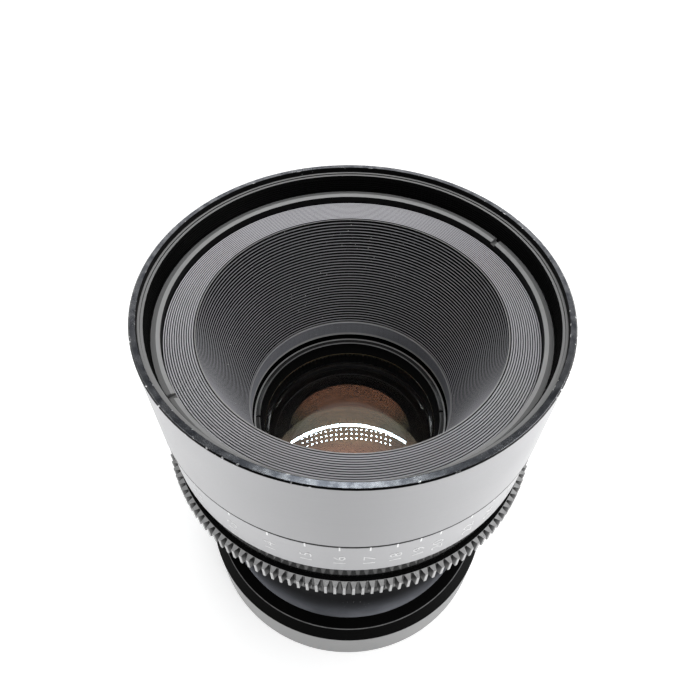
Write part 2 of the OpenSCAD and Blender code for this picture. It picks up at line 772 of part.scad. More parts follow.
module iris_blade(i) {
  z = z_blade0 + (i - 1) * blade_step;
  color([0.2, 0.2, 0.21])
    rotate([0, 0, (i - 1) * 45])
      union() {
        difference() {
          union() {
            sector(blade_in, blade_out, z, z + blade_t, -4, blade_span + 4);
            post(1.6, pivot_circle, z, z + blade_t);
            translate([pivot_circle, -lever, z])
              cylinder(r = 1.2, h = blade_t, $fn = 32);
            translate([blade_out - 2, -1.5, z])
              cube([pivot_circle - blade_out + 2, 3, blade_t]);
            translate([pivot_circle - 1, -lever, z])
              cube([2, lever, blade_t]);
          }
          post(pivot_r + run_gap, pivot_circle, z - 1, z + 1);
        }
        translate([pivot_circle, -lever, z])
          cylinder(r = stud_r, h = z_drive1 - 0.2 - z, $fn = 32);
      }
}
module iris_blade_1() { iris_blade(1); }
module iris_blade_2() { iris_blade(2); }
module iris_blade_3() { iris_blade(3); }
module iris_blade_4() { iris_blade(4); }
module iris_blade_5() { iris_blade(5); }
module iris_blade_6() { iris_blade(6); }
module iris_blade_7() { iris_blade(7); }
module iris_blade_8() { iris_blade(8); }
// where a stud is in the drive ring's own frame when the ring has turned by t
function stud_x(t) = pivot_circle + lever * sin(t);
function stud_y(t) = -lever * cos(t);
function stud_p(t) = norm([stud_x(t), stud_y(t)]);
function stud_a(t) = atan2(stud_y(t), stud_x(t)) - t;
module iris_drive_ring() {
  half = stud_r + 0.2;
  steps = 9;
  lo = -2.2;
  hi = iris_swing + 2.2;
  out = [for (k = [0 : steps]) let (t = lo + (hi - lo) * k / steps)
    [(stud_p(t) + half + 0.05) * cos(stud_a(t)), (stud_p(t) + half + 0.05) * sin(stud_a(t))]];
  inn = [for (k = [steps : -1 : 0]) let (t = lo + (hi - lo) * k / steps)
    [(stud_p(t) - half) * cos(stud_a(t)), (stud_p(t) - half) * sin(stud_a(t))]];
  color([0.55, 0.45, 0.25])
    difference() {
      tube(blade_in + 1.5, drive_r, z_drive0, z_drive1);
      spin(8)
        translate([0, 0, z_drive0 - 1])
          linear_extrude(height = 4)
            polygon(concat(out, inn));
    }
}
module iris_fork() {
  w = fork_half + fork_bar;
  color([0.6, 0.6, 0.6])
    rotate([0, 0, pin_az])
      union() {
        translate([cell_r + side_gap, -w, z_drive1])
          cube([fork_in + fork_plate - cell_r - side_gap, 2 * w, 1.4]);
        translate([fork_in, -w, fork_z0])
          cube([fork_plate, 2 * w, fork_z1 - fork_z0]);
        for (s = [-w, fork_half])
          translate([fork_in, s, fork_z0])
            cube([fork_plate + fork_len, fork_bar, fork_z1 - fork_z0]);
      }
}

// rear group
module rear_cell() {
  color([0.06, 0.06, 0.06])
    difference() {
      union() {
        tube(rear_glass_r, rear_cell_r, z_rcell0, z_base0);
        tube(rear_glass_r, cell_flange_r, z_base0 - 2.5, z_base0);
      }
      spin(3, 22.5)
        post(0.7, cell_screw_c, z_base0 - 4, z_base0 + 1);
    }
}
module rear_cell_screws() {
  color([0.3, 0.3, 0.3])
    spin(3, 22.5)
      union() {
        post(0.7, cell_screw_c, z_base0 - 2.5, z_base0 + 1.5);
        post(1.3, cell_screw_c, z_base0 - 3.7, z_base0 - 2.5);
      }
}
module element_4() {
  color([0.5, 0.5, 0.4, 0.4])
    difference() {
      tube(0, rear_glass_r, z_cement2, z_base0);
      translate([0, 0, z_e4f + r5])
        sphere(r = r5, $fn = 240);
    }
}
module element_5() {
  color([0.6, 0.5, 0.4, 0.4])
    intersection() {
      tube(0, rear_glass_r, z_e5b - 1, z_cement2);
      translate([0, 0, z_e5b + r6])
        sphere(r = r6, $fn = 240);
    }
}
module rear_spacer() {
  color([0.1, 0.1, 0.1])
    tube(rear_glass_r - 1.5, rear_glass_r, z_e6f - sag(r7, rear_glass_r - 1.5), z_e5b + sag(r6, rear_glass_r - 1.5));
}
module element_6() {
  color([0.6, 0.55, 0.4, 0.4])
    intersection() {
      ball_cap(r7, z_e6f);
      translate([0, 0, z_e6b + r8])
        sphere(r = r8, $fn = 240);
      tube(0, rear_glass_r, z_e6b - 1, z_e6f + 1);
    }
}
module rear_retainer() {
  color([0.25, 0.25, 0.25])
    tube(rear_glass_r - 1.5, rear_glass_r, z_rcell0, z_e6b + sag(r8, rear_glass_r - 1.5));
}

// turning iris ring
module iris_ring() {
  color([0.09, 0.09, 0.095])
    difference() {
      rotate_extrude()
        polygon([[iris_in, z_iris0], [iris_r - edge_bevel, z_iris0], [iris_r, z_iris0 + edge_bevel],
          [iris_r, z_igear], [iris_seat_r, z_igear], [iris_seat_r, z_iris1], [iris_in, z_iris1]]);
      rotate([0, 0, pin_az])
        radial_pin(pin_d / 2, iris_in - 1, iris_in + 1.6, z_pin);
    }
}
module iris_gear() {
  color([0.14, 0.14, 0.14])
    gear_ring(iris_teeth, iris_seat_r, z_igear, iris_gear_w);
}
module iris_drive_pin() {
  color([0.7, 0.7, 0.7])
    rotate([0, 0, pin_az])
      radial_pin(pin_d / 2, fork_in + fork_plate + 1.6 * side_gap, iris_in + 1.6, z_pin);
}

rear_cap();
lens_mount();
mount_shim();
mount_screws();
rear_barrel();
main_barrel();
barrel_screws();
index_ring();
front_barrel();
front_screws();
front_tube();
ridged_baffle();
front_retaining_ring();
focus_stop_pin();
focus_ring();
focus_gear();
gear_screws();
focus_bearing_rear();
focus_bearing_front();
helicoid_ring();
coupling_pins();
carrier();
front_cell();
glass_retainer();
element_1();
element_2();
element_3();
inner_retainer();
iris_housing();
housing_screws();
iris_pivots();
rear_cell();
rear_cell_screws();
element_4();
element_5();
rear_spacer();
element_6();
rear_retainer();
iris_ring();
iris_gear();
iris_drive_pin();
iris_drive_ring();
iris_fork();
iris_blade_1();
iris_blade_2();
iris_blade_3();
iris_blade_4();
iris_blade_5();
iris_blade_6();
iris_blade_7();
iris_blade_8();
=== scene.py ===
"""Looks for the cinema prime lens: finishes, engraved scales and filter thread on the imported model."""

import math

import bpy
from mathutils import Matrix, Vector


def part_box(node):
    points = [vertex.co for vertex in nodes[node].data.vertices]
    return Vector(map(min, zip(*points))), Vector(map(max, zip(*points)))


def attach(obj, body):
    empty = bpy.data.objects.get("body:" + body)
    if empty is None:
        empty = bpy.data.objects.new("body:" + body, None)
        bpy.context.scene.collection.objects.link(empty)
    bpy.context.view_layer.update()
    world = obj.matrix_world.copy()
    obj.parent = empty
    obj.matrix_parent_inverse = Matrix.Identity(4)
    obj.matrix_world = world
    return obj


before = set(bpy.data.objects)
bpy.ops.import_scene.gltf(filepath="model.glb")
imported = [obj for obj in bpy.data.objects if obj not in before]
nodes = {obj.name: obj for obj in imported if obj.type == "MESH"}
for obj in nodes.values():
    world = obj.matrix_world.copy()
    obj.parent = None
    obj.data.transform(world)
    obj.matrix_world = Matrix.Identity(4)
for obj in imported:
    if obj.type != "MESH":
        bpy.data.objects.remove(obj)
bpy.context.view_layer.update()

# Sizes in metres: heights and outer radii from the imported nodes, inner radii as the part has them
MM = 0.001
rim_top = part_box("front_barrel")[1].z
front_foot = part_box("front_barrel")[0].z
front_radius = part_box("front_barrel")[1].x
lip_radius = front_radius - 1.7 * MM
band_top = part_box("focus_ring")[1].z
band_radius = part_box("focus_ring")[1].x
gear_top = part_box("focus_gear")[1].z
band_foot = gear_top + 8 * MM
groove_radius = band_radius - 0.75 * MM
tip_radius = 58.4 * MM
iris_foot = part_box("iris_ring")[0].z
iris_radius = 49.4 * MM
iris_gear_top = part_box("iris_gear")[1].z
iris_tip_radius = 52.0 * MM
waist_radius = 48.2 * MM
waist_top = iris_foot - 0.3 * MM
cap_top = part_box("rear_cap")[1].z
cap_edge_radius = 51.9 * MM
ledge_top = rim_top - 1.7 * MM
filter_radius = 53.9 * MM
filter_top = ledge_top - 0.4 * MM
filter_foot = filter_top - 5.3 * MM
lining_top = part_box("ridged_baffle")[1].z
lining_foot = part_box("ridged_baffle")[0].z
cone_foot = lining_foot + 6.7 * MM
cone_top = lining_top - 0.3 * MM
cone_foot_radius = 32 * MM
cone_top_radius = 42.4 * MM
ring_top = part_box("front_retaining_ring")[1].z
ring_radius = 51 * MM
rear_ring_radius = 15.5 * MM
nose_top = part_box("glass_retainer")[1].z
nose_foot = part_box("glass_retainer")[0].z

# Depth of the fine marks that a lathe leaves
TOOL_MARK = 0.004 * MM


class Wire:
    """One socket of a finish, which takes part in sums."""

    def __init__(self, finish, socket):
        self.finish = finish
        self.socket = socket

    def work(self, operation, *values):
        sockets = dict(enumerate(values))
        return self.finish.node("ShaderNodeMath", {"operation": operation}, sockets)

    def __add__(self, other):
        return self.work("ADD", self, other)

    def __radd__(self, other):
        return self.work("ADD", other, self)

    def __sub__(self, other):
        return self.work("SUBTRACT", self, other)

    def __rsub__(self, other):
        return self.work("SUBTRACT", other, self)

    def __mul__(self, other):
        return self.work("MULTIPLY", self, other)

    def __rmul__(self, other):
        return self.work("MULTIPLY", other, self)

    def __truediv__(self, other):
        return self.work("DIVIDE", self, other)

    def __pow__(self, other):
        return self.work("POWER", self, other)

    def __gt__(self, other):
        return self.work("GREATER_THAN", self, other)

    def __lt__(self, other):
        return self.work("LESS_THAN", self, other)

    def least(self, other):
        return self.work("MINIMUM", self, other)

    def most(self, other):
        return self.work("MAXIMUM", self, other)

    def size(self):
        return self.work("ABSOLUTE", self)

    def fraction(self):
        return self.work("FRACT", self)

    def ramp(self, low, high, to_low=0.0, to_high=1.0):
        sockets = {"Value": self, "From Min": low, "From Max": high, "To Min": to_low, "To Max": to_high}
        return self.finish.node("ShaderNodeMapRange", {"clamp": True}, sockets)


class Finish:
    """A procedural material: one Principled shader and the nodes that feed it."""

    def __init__(self, name, **constants):
        self.material = bpy.data.materials.new(name)
        self.material.use_nodes = True
        self.tree = self.material.node_tree
        self.shader = self.tree.nodes["Principled BSDF"]
        for socket, value in constants.items():
            self.shader.inputs[socket.replace("_", " ")].default_value = value
        self.place = self.node("ShaderNodeTexCoord", {}, {}, "Object")
        parts = self.node("ShaderNodeSeparateXYZ", {}, {"Vector": self.place}, None)
        self.x = Wire(self, parts.outputs["X"])
        self.y = Wire(self, parts.outputs["Y"])
        self.z = Wire(self, parts.outputs["Z"])
        self.radius = (self.x * self.x + self.y * self.y) ** 0.5

    def node(self, kind, settings, sockets, out=0):
        made = self.tree.nodes.new(kind)
        for name, value in settings.items():
            setattr(made, name, value)
        for name, value in sockets.items():
            if isinstance(value, Wire):
                self.tree.links.new(value.socket, made.inputs[name])
            else:
                made.inputs[name].default_value = value
        return made if out is None else Wire(self, made.outputs[out])

    def feed(self, **sockets):
        for name, value in sockets.items():
            self.tree.links.new(value.socket, self.shader.inputs[name.replace("_", " ")])
        return self

    def noise(self, scale, detail, vector=None, rough=0.5):
        sockets = {"Vector": vector or self.place, "Scale": scale, "Detail": detail, "Roughness": rough}
        return self.node("ShaderNodeTexNoise", {}, sockets, "Fac")

    def specks(self, scale, size):
        sockets = {"Vector": self.place, "Scale": scale}
        far = self.node("ShaderNodeTexVoronoi", {}, sockets, "Distance")
        return far.ramp(size, size * 0.5)

    def turned(self, scale):
        """Fine rings, as a lathe leaves them, round the optical axis."""
        ringed = self.node("ShaderNodeCombineXYZ", {}, {"X": self.radius, "Y": self.z, "Z": 0.0})
        return self.noise(scale, 2.0, ringed)

    def mix(self, mask, first, second):
        sockets = {0: mask, 6: first, 7: second}
        return self.node("ShaderNodeMix", {"data_type": "RGBA"}, sockets, 2)

    def seen_by(self, ray):
        """Where rays of one kind meet the stage."""
        return self.node("ShaderNodeLightPath", {}, {}, ray)

    def bump(self, height, distance, strength):
        sockets = {"Height": height, "Distance": distance, "Strength": strength}
        return self.node("ShaderNodeBump", {}, sockets, "Normal")


class Sky(Finish):
    """The world behind the stage, fed by the same kind of nodes."""

    def __init__(self, world):
        world.use_nodes = True
        self.tree = world.node_tree
        self.shader = self.tree.nodes["Background"]


def grey(level):
    return (level, level, level, 1.0)


def alloy_finish(name, base):
    """Satin anodised alloy with turning marks and handling patches, the start of two finishes; its grey is
    a painted reflection, standing in for the table mirrored in black anodising.
    """
    f = Finish(name, Specular_IOR_Level=0.12)
    f.lines = f.turned(5200.0)
    f.patches = f.noise(26.0, 4.0)
    f.grain = f.noise(2600.0, 2.0)
    # Painted reflection: the grey base stands in for the white table mirrored in black anodising.
    light = (base * 1.06, base * 1.06, base * 1.085, 1.0)
    dark = (base * 0.94, base * 0.94, base * 0.96, 1.0)
    f.colour = f.mix(f.lines * 0.55 + f.patches * 0.45, dark, light)
    f.gloss = f.patches.ramp(0.3, 0.7, 0.3, 0.4) + (f.grain - 0.5) * 0.1
    return f


def front_finish():
    """Front barrel: satin outside, nicked and mottled rim, black bores with ledges between them painted
    grey as a painted highlight, and a rim bevel and a line at the foot painted black as painted shade.
    """
    f = alloy_finish("satin_alloy_front", 0.36)
    inside = f.radius.ramp(lip_radius, lip_radius - 0.04 * MM)
    # Painted highlight: the up-facing ledges in the black bore are painted grey.
    ledge_highlight = (f.z - ledge_top).size().least((f.z - filter_top).size()).ramp(0.04 * MM, 0.02 * MM)
    # Painted shade: a black line at the foot stands for the gap above the focus ring.
    foot = f.z.ramp(front_foot + 1.0 * MM, front_foot + 0.9 * MM)
    black = (inside * (1.0 - ledge_highlight)).most(foot)
    rim = f.z.ramp(rim_top - 0.05 * MM, rim_top - 0.02 * MM)
    # Painted shade: the rim's outer bevel is painted near black, a dark line under the rim.
    bevel = f.z.ramp(rim_top - 0.4 * MM, rim_top - 0.34 * MM) * (1.0 - rim) * (1.0 - inside)
    mottled = f.noise(420.0, 4.0).ramp(0.35, 0.65)
    outer_edge = f.radius.ramp(front_radius - 0.75 * MM, front_radius - 0.35 * MM)
    outer_edge = outer_edge * f.z.ramp(rim_top - 0.9 * MM, rim_top - 0.4 * MM)
    inner_edge = (f.radius - lip_radius).size().ramp(0.2 * MM, 0.05 * MM)
    inner_edge = inner_edge * f.z.ramp(rim_top - 0.2 * MM, rim_top)
    chips = f.noise(820.0, 3.0).ramp(0.6, 0.64) * f.noise(95.0, 2.0).ramp(0.48, 0.56)
    nicks = chips * outer_edge.most(inner_edge)
    spots = f.specks(520.0, 0.16) * (f.noise(60.0, 2.0) > 0.62)
    rim_grey = f.mix(mottled, (0.1, 0.105, 0.12, 1.0), (0.26, 0.265, 0.28, 1.0))
    colour = f.mix(rim, f.colour, rim_grey)
    colour = f.mix(bevel, colour, grey(0.012))
    colour = f.mix(black, colour, f.mix(spots, grey(0.002), grey(0.1)))
    colour = f.mix(inside * ledge_highlight, colour, grey(0.24))
    colour = f.mix(nicks, colour, grey(0.85))
    gloss = (f.gloss - rim * 0.12) * (1.0 - black) + black * 0.55
    metal = 0.95 - black.most(inside) * 0.95
    normal = f.bump(f.lines * 0.35 + f.grain * 0.65, TOOL_MARK, 0.5)
    return f.feed(Base_Color=colour, Roughness=gloss, Metallic=metal, Normal=normal)


def focus_finish():
    """Focus ring: satin scale band under a seam painted black as painted shade in the gap, and a glossy
    black groove above the gear.
    """
    f = alloy_finish("satin_alloy_focus", 0.435)
    # Painted shade: a black band at the top of the scale band stands for the gap under the front barrel.
    seam = f.z.ramp(band_top - 1.05 * MM, band_top - 0.98 * MM)
    sunk = f.radius.ramp(groove_radius + 0.25 * MM, groove_radius + 0.15 * MM)
    groove = sunk * (f.z < band_foot + 0.05 * MM)
    smears = f.noise(70.0, 5.0).ramp(0.35, 0.7, 0.07, 0.16)
    dark = seam.most(groove)
    colour = f.mix(dark, f.colour, grey(0.004))
    gloss = f.gloss * (1.0 - groove) + smears * groove
    normal = f.bump((f.lines * 0.35 + f.grain * 0.65) * (1.0 - groove), TOOL_MARK, 0.5)
    return f.feed(Base_Color=colour, Roughness=gloss, Metallic=0.95 - dark * 0.95, Normal=normal)


def black_finish(name, level, rough, shine, dust=0.0):
    """Black anodising with uneven gloss, fine turning marks and a little dust."""
    f = Finish(name, Specular_IOR_Level=shine)
    cloudy = f.noise(42.0, 5.0)
    fine = f.turned(4200.0)
    colour = f.mix(cloudy.ramp(0.35, 0.7), grey(level * 0.8), grey(level * 1.25))
    if dust:
        motes = f.specks(700.0, 0.13) * f.noise(38.0, 2.0).ramp(0.55, 0.68) * dust
        colour = f.mix(motes, colour, grey(0.45))
    gloss = cloudy.ramp(0.3, 0.72, rough * 0.8, rough * 1.25) + (fine - 0.5) * rough * 0.3
    normal = f.bump(fine, TOOL_MARK, 0.6)
    return f.feed(Base_Color=colour, Roughness=gloss, Normal=normal)


def waist_finish():
    """Black rear barrel: a wiped blue grey haze, painted stronger towards its foot as painted light, leaves
    the top in painted shade under the gear; the edge of its foot is painted pale, a painted highlight.
    """
    f = Finish("satin_black_waist", Specular_IOR_Level=0.012)
    wiped = f.noise(30.0, 6.0, rough=0.62)
    streak = f.turned(900.0)
    # Painted light and shade: the haze grows towards the foot and leaves the top dark under the gear; its
    # wiped noise is smudging.
    low = f.z.ramp(cap_top + 21.0 * MM, cap_top + 2.0 * MM)
    haze = low ** 2.0 * wiped.ramp(0.3, 0.7, 0.25, 1.15)
    # Painted highlight: the edge of the foot is painted pale.
    edge = f.z.ramp(cap_top + 1.15 * MM, cap_top + 0.9 * MM) * wiped.ramp(0.3, 0.6, 0.4, 1.0)
    colour = f.mix(haze, (0.004, 0.004, 0.005, 1.0), (0.25, 0.26, 0.29, 1.0))
    colour = f.mix(edge, colour, grey(0.26))
    motes = f.specks(620.0, 0.12) * f.noise(45.0, 2.0).ramp(0.58, 0.66)
    colour = f.mix(motes, colour, grey(0.35))
    gloss = wiped.ramp(0.3, 0.7, 0.36, 0.5) + (streak - 0.5) * 0.05
    return f.feed(Base_Color=colour, Roughness=gloss, Normal=f.bump(streak, 0.003 * MM, 0.4))


def gear_finish(name, tip, top, base):
    """Satin alloy teeth, lighter at the tips, top faces painted pale as a painted highlight, roots and the
    ring inside them painted black as painted shade.
    """
    f = Finish(name, Specular_IOR_Level=0.12)
    patches = f.noise(160.0, 4.0)
    grain = f.noise(3000.0, 2.0)
    # Lighter at the tooth tips.
    tip_land = f.radius.ramp(tip - 0.3 * MM, tip - 0.1 * MM)
    # Painted highlight: the top faces of the teeth are painted pale.
    face_highlight = f.z.ramp(top - 0.06 * MM, top - 0.03 * MM)
    # Painted shade: the roots between the teeth and the ring inside them are painted dark.
    root_shade = f.radius.ramp(tip - 0.5 * MM, tip - 1.6 * MM)
    hub_shade = f.radius.ramp(tip - 1.84 * MM, tip - 1.9 * MM)
    colour = f.mix(patches, grey(base * 0.88), grey(base * 1.1))
    colour = f.mix(tip_land, colour, grey(base * 4.5))
    colour = f.mix(root_shade, colour, grey(base * 0.1))
    colour = f.mix(face_highlight, colour, f.mix(patches, grey(base * 5.0), grey(base * 7.0)))
    colour = f.mix(hub_shade, colour, grey(0.004))
    gloss = patches.ramp(0.3, 0.7, 0.3, 0.42) + (grain - 0.5) * 0.12 - face_highlight * 0.12
    metal = (1.0 - root_shade * 0.4) * (1.0 - hub_shade) * (1.0 - face_highlight * 0.65)
    normal = f.bump(grain, 0.006 * MM, 0.5)
    return f.feed(Base_Color=colour, Roughness=gloss, Metallic=metal, Normal=normal)


def lining_finish():
    """Turned light trap: crests painted pale as painted highlights and valleys painted black as painted
    shade, with pale lines at its edges as painted highlights; fine rings on the flat and the straight end.
    """
    f = Finish("turned_light_trap", Specular_IOR_Level=0.08)
    slope = (cone_top_radius - cone_foot_radius) / (cone_top - cone_foot)
    cone_line = (f.z - cone_foot) * slope + cone_foot_radius
    depth = f.radius - cone_line
    # Painted highlight and shade: on the cone the crests are painted pale and the valleys black.
    crest_highlight = depth.ramp(0.2 * MM, 0.04 * MM)
    flat = f.z.ramp(lining_top - 0.36 * MM, lining_top - 0.3 * MM)
    flat = flat * (f.radius > cone_top_radius - 0.1 * MM)
    # Painted highlight and shade: on the flat the crests of the fine rings are painted pale and the grooves
    # black.
    flat_crest_highlight = f.z.ramp(lining_top - 0.26 * MM, lining_top - 0.13 * MM)
    # Painted highlight: a pale line at the inner edge of the flat.
    brow_highlight = (f.radius - cone_top_radius - 0.1 * MM).size().ramp(0.25 * MM, 0.1 * MM)
    brow_highlight = brow_highlight * f.z.ramp(lining_top - 0.4 * MM, lining_top - 0.3 * MM)
    land = f.z.ramp(cone_foot + 0.05 * MM, cone_foot - 0.05 * MM)
    # Painted highlight: on the straight end the crests of the fine rings are painted pale, standing in for
    # reflected light.
    fine = f.radius.ramp(cone_foot_radius + 0.3 * MM, cone_foot_radius + 0.03 * MM)
    # Painted highlight: a pale line where the cone meets the straight end.
    brink_highlight = (f.z - cone_foot).size().ramp(0.3 * MM, 0.12 * MM)
    # Painted highlight: a pale band at the foot of the straight end.
    hem_highlight = f.z.ramp(lining_foot + 1.3 * MM, lining_foot + 1.1 * MM)
    patches = f.noise(60.0, 4.0)
    cone_grey = f.mix(patches, (0.25, 0.25, 0.265, 1.0), (0.32, 0.32, 0.34, 1.0))
    land_grey = f.mix(fine, (0.05, 0.051, 0.055, 1.0), (0.27, 0.275, 0.3, 1.0))
    flat_grey = f.mix(patches, (0.5, 0.495, 0.52, 1.0), (0.58, 0.575, 0.605, 1.0))
    colour = f.mix(crest_highlight, grey(0.002), cone_grey)
    colour = f.mix(land, colour, land_grey)
    colour = f.mix(flat, colour, f.mix(flat_crest_highlight, grey(0.008), flat_grey))
    colour = f.mix(brow_highlight.most(brink_highlight * 0.5), colour, grey(0.4))
    colour = f.mix(hem_highlight, colour, grey(0.42))
    motes = f.specks(640.0, 0.13) * f.noise(40.0, 2.0).ramp(0.56, 0.68)
    colour = f.mix(motes, colour, grey(0.4))
    gloss = patches.ramp(0.3, 0.7, 0.42, 0.55)
    return f.feed(Base_Color=colour, Roughness=gloss, Metallic=brow_highlight * 0.3)


def ring_finish(name, level, black_radius, black_top):
    """Grey turned retaining ring: inner bevel and thin outer edge painted pale as painted highlights, inner
    wall painted black as painted shade in the gap.
    """
    f = Finish(name, Specular_IOR_Level=0.1)
    fine = f.turned(6000.0)
    patches = f.noise(90.0, 3.0)
    # Painted shade: the inner wall is painted black, as shade in the gap inside the ring.
    wall = f.radius.ramp(black_radius + 0.06 * MM, black_radius + 0.02 * MM)
    wall = wall * f.z.ramp(black_top, black_top - 0.05 * MM)
    # Painted highlights: the inner bevel and a thin outer edge are painted pale.
    bevel = f.radius.ramp(black_radius + 1.02 * MM, black_radius + 0.96 * MM)
    bevel = bevel * f.z.ramp(black_top - 0.02 * MM, black_top)
    outer = f.radius.ramp(black_radius + 2.05 * MM, black_radius + 2.2 * MM)
    colour = f.mix(fine * 0.6 + patches * 0.4, grey(level * 0.8), grey(level * 1.2))
    colour = f.mix(bevel.most(outer), colour, grey(level * 2.0))
    colour = f.mix(wall, colour, grey(0.003))
    gloss = patches.ramp(0.3, 0.7, 0.34, 0.44)
    normal = f.bump(fine, TOOL_MARK, 0.5)
    return f.feed(Base_Color=colour, Roughness=gloss, Metallic=0.4 - wall * 0.4, Normal=normal)


def nose_finish():
    """Glass retainer: glossy dark flat, bevel painted pale as a painted highlight, black cone with a thin
    pale line at the glass, a painted highlight.
    """
    f = Finish("glass_retainer_black", Specular_IOR_Level=0.3)
    fine = f.turned(6000.0)
    cone = f.z.ramp(nose_top - 0.42 * MM, nose_top - 0.46 * MM)
    # Painted highlight: the bevel is painted pale.
    bevel = f.z.ramp(nose_top - 0.13 * MM, nose_top - 0.16 * MM) * (1.0 - cone)
    # Painted highlight: a thin pale line where the cone meets the glass.
    line = f.z.ramp(nose_foot + 0.3 * MM, nose_foot + 0.2 * MM) * cone
    colour = f.mix(fine, grey(0.045), grey(0.07))
    colour = f.mix(bevel, colour, grey(0.3))
    colour = f.mix(cone, colour, grey(0.003))
    colour = f.mix(line, colour, (0.2, 0.17, 0.1, 1.0))
    gloss = fine.ramp(0.3, 0.7, 0.1, 0.16) + bevel * 0.2 + line * 0.2
    return f.feed(Base_Color=colour, Roughness=gloss, Metallic=0.7 - cone * 0.7)


def cell_finish():
    """Front cell: matte black with a turned lip round the glass retainer painted pale, a painted highlight.
    """
    f = Finish("front_cell_black", Specular_IOR_Level=0.08)
    fine = f.turned(6000.0)
    # Painted highlight: the lip round the glass retainer is painted pale.
    lip = f.z.ramp(nose_top + 0.02 * MM, nose_top + 0.06 * MM)
    colour = f.mix(fine, grey(0.003), grey(0.006))
    colour = f.mix(lip, colour, grey(0.4))
    return f.feed(Base_Color=colour, Roughness=fine.ramp(0.3, 0.7, 0.4, 0.55), Metallic=lip * 0.5)


def metal_finish(name, colour, rough):
    """Bare turned metal with fine tool marks."""
    f = Finish(name, Metallic=1.0)
    fine = f.turned(5000.0)
    patches = f.noise(70.0, 4.0)
    low = tuple(c * 0.85 for c in colour) + (1.0,)
    high = tuple(min(1.0, c * 1.12) for c in colour) + (1.0,)
    tint = f.mix(fine * 0.5 + patches * 0.5, low, high)
    gloss = patches.ramp(0.3, 0.7, rough * 0.8, rough * 1.25)
    return f.feed(Base_Color=tint, Roughness=gloss, Normal=f.bump(fine, TOOL_MARK, 0.5))


def glass_finish(name, body, index, coat=0.0):
    """Optical glass, clear and smooth, its tint a little uneven; a coat makes it mirror more."""
    f = Finish(name, Transmission_Weight=1.0, IOR=index, Roughness=0.0,
               Coat_Weight=coat, Coat_Roughness=0.0, Coat_IOR=2.1)
    darker = tuple(c * 0.97 for c in body[:3]) + (1.0,)
    return f.feed(Base_Color=f.mix(f.noise(55.0, 4.0), darker, body))


def paint_finish(name, level):
    """Engraved mark filled with bright silver paint."""
    f = Finish(name, Metallic=0.85)
    patches = f.noise(900.0, 3.0)
    colour = f.mix(patches, grey(level * 0.9), grey(level))
    return f.feed(Base_Color=colour, Roughness=patches.ramp(0.3, 0.7, 0.45, 0.6))


def blade_finish():
    """Black spring steel, faintly brushed."""
    f = Finish("iris_blade_steel", Metallic=0.7)
    brushed = f.turned(3800.0)
    patches = f.noise(120.0, 3.0)
    colour = f.mix(brushed, grey(0.035), grey(0.075))
    gloss = patches.ramp(0.3, 0.7, 0.3, 0.42)
    return f.feed(Base_Color=colour, Roughness=gloss, Normal=f.bump(brushed, 0.003 * MM, 0.4))


def cap_finish():
    """Rear cap: grey satin wall, a painted reflection of the table on the black finish that its shoulder
    and top show, and a thin painted highlight line on its upper edge.
    """
    f = Finish("rear_cap_painted_reflection_wall", Specular_IOR_Level=0.04)
    patches = f.noise(30.0, 5.0)
    grain = f.noise(2400.0, 2.0)
    shoulder = f.z.ramp(cap_top - 3.5 * MM, cap_top - 3.35 * MM)
    # Painted highlight: a thin pale line on the upper edge, broken by noise.
    line = (f.radius - cap_edge_radius).size().ramp(0.2 * MM, 0.08 * MM)
    line = line * f.z.ramp(cap_top - 0.5 * MM, cap_top - 0.1 * MM)
    edge_highlight = line * f.noise(240.0, 3.0).ramp(0.25, 0.5, 0.4, 1.0)
    # Painted reflection: the grey wall stands in for the table mirrored in the cap's black finish.
    wall = f.mix(patches, grey(0.28), grey(0.34))
    black = f.mix(patches, grey(0.001), grey(0.005))
    colour = f.mix(edge_highlight, f.mix(shoulder, wall, black), grey(0.22))
    gloss = shoulder.ramp(0.0, 1.0, 0.36, 0.5) + (patches - 0.5) * 0.14
    normal = f.bump(grain, 0.005 * MM, 0.5)
    return f.feed(Base_Color=colour, Roughness=gloss, Metallic=0.8 - shoulder * 0.8, Normal=normal)


def dress(finish, *names):
    """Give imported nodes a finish."""
    for name in names:
        mesh = nodes[name].data
        mesh.materials.clear()
        mesh.materials.append(finish.material)


matte_black = black_finish("matte_black_inside", 0.004, 0.55, shine=0.08)
satin_black = black_finish("satin_black_ring", 0.012, 0.36, dust=0.6, shine=0.25)
thread_black = black_finish("thread_black", 0.002, 0.5, shine=0.06)
white_fill = paint_finish("white_scale_fill", 0.95)
pale_fill = paint_finish("pale_number_fill", 0.82)
steel = metal_finish("turned_steel", (0.6, 0.6, 0.61), 0.28)
screw_steel = metal_finish("blackened_screw", (0.12, 0.12, 0.125), 0.32)
bronze = metal_finish("bearing_bronze", (0.62, 0.4, 0.16), 0.3)
shim_brass = metal_finish("shim_brass", (0.74, 0.56, 0.24), 0.26)

dress(front_finish(), "front_barrel")
dress(focus_finish(), "focus_ring")
dress(gear_finish("focus_gear_teeth", tip_radius, gear_top, 0.1), "focus_gear")
dress(gear_finish("iris_gear_teeth", iris_tip_radius, iris_gear_top, 0.03), "iris_gear")
dress(waist_finish(), "rear_barrel")
dress(satin_black, "index_ring", "iris_ring", "iris_drive_ring")
dress(cap_finish(), "rear_cap")
dress(lining_finish(), "ridged_baffle")
dress(ring_finish("front_ring_grey", 0.18, ring_radius, ring_top - 0.5 * MM), "front_retaining_ring")
dress(nose_finish(), "glass_retainer")
dress(ring_finish("rear_ring_grey", 0.1, rear_ring_radius, 0.0), "rear_retainer")
dress(cell_finish(), "front_cell")
dress(matte_black, "front_tube", "main_barrel", "carrier", "rear_cell", "iris_housing")
dress(matte_black, "inner_retainer", "rear_spacer")
dress(steel, "lens_mount", "focus_stop_pin", "coupling_pins", "iris_pivots", "iris_drive_pin", "iris_fork")
dress(screw_steel, "mount_screws", "barrel_screws", "front_screws", "gear_screws")
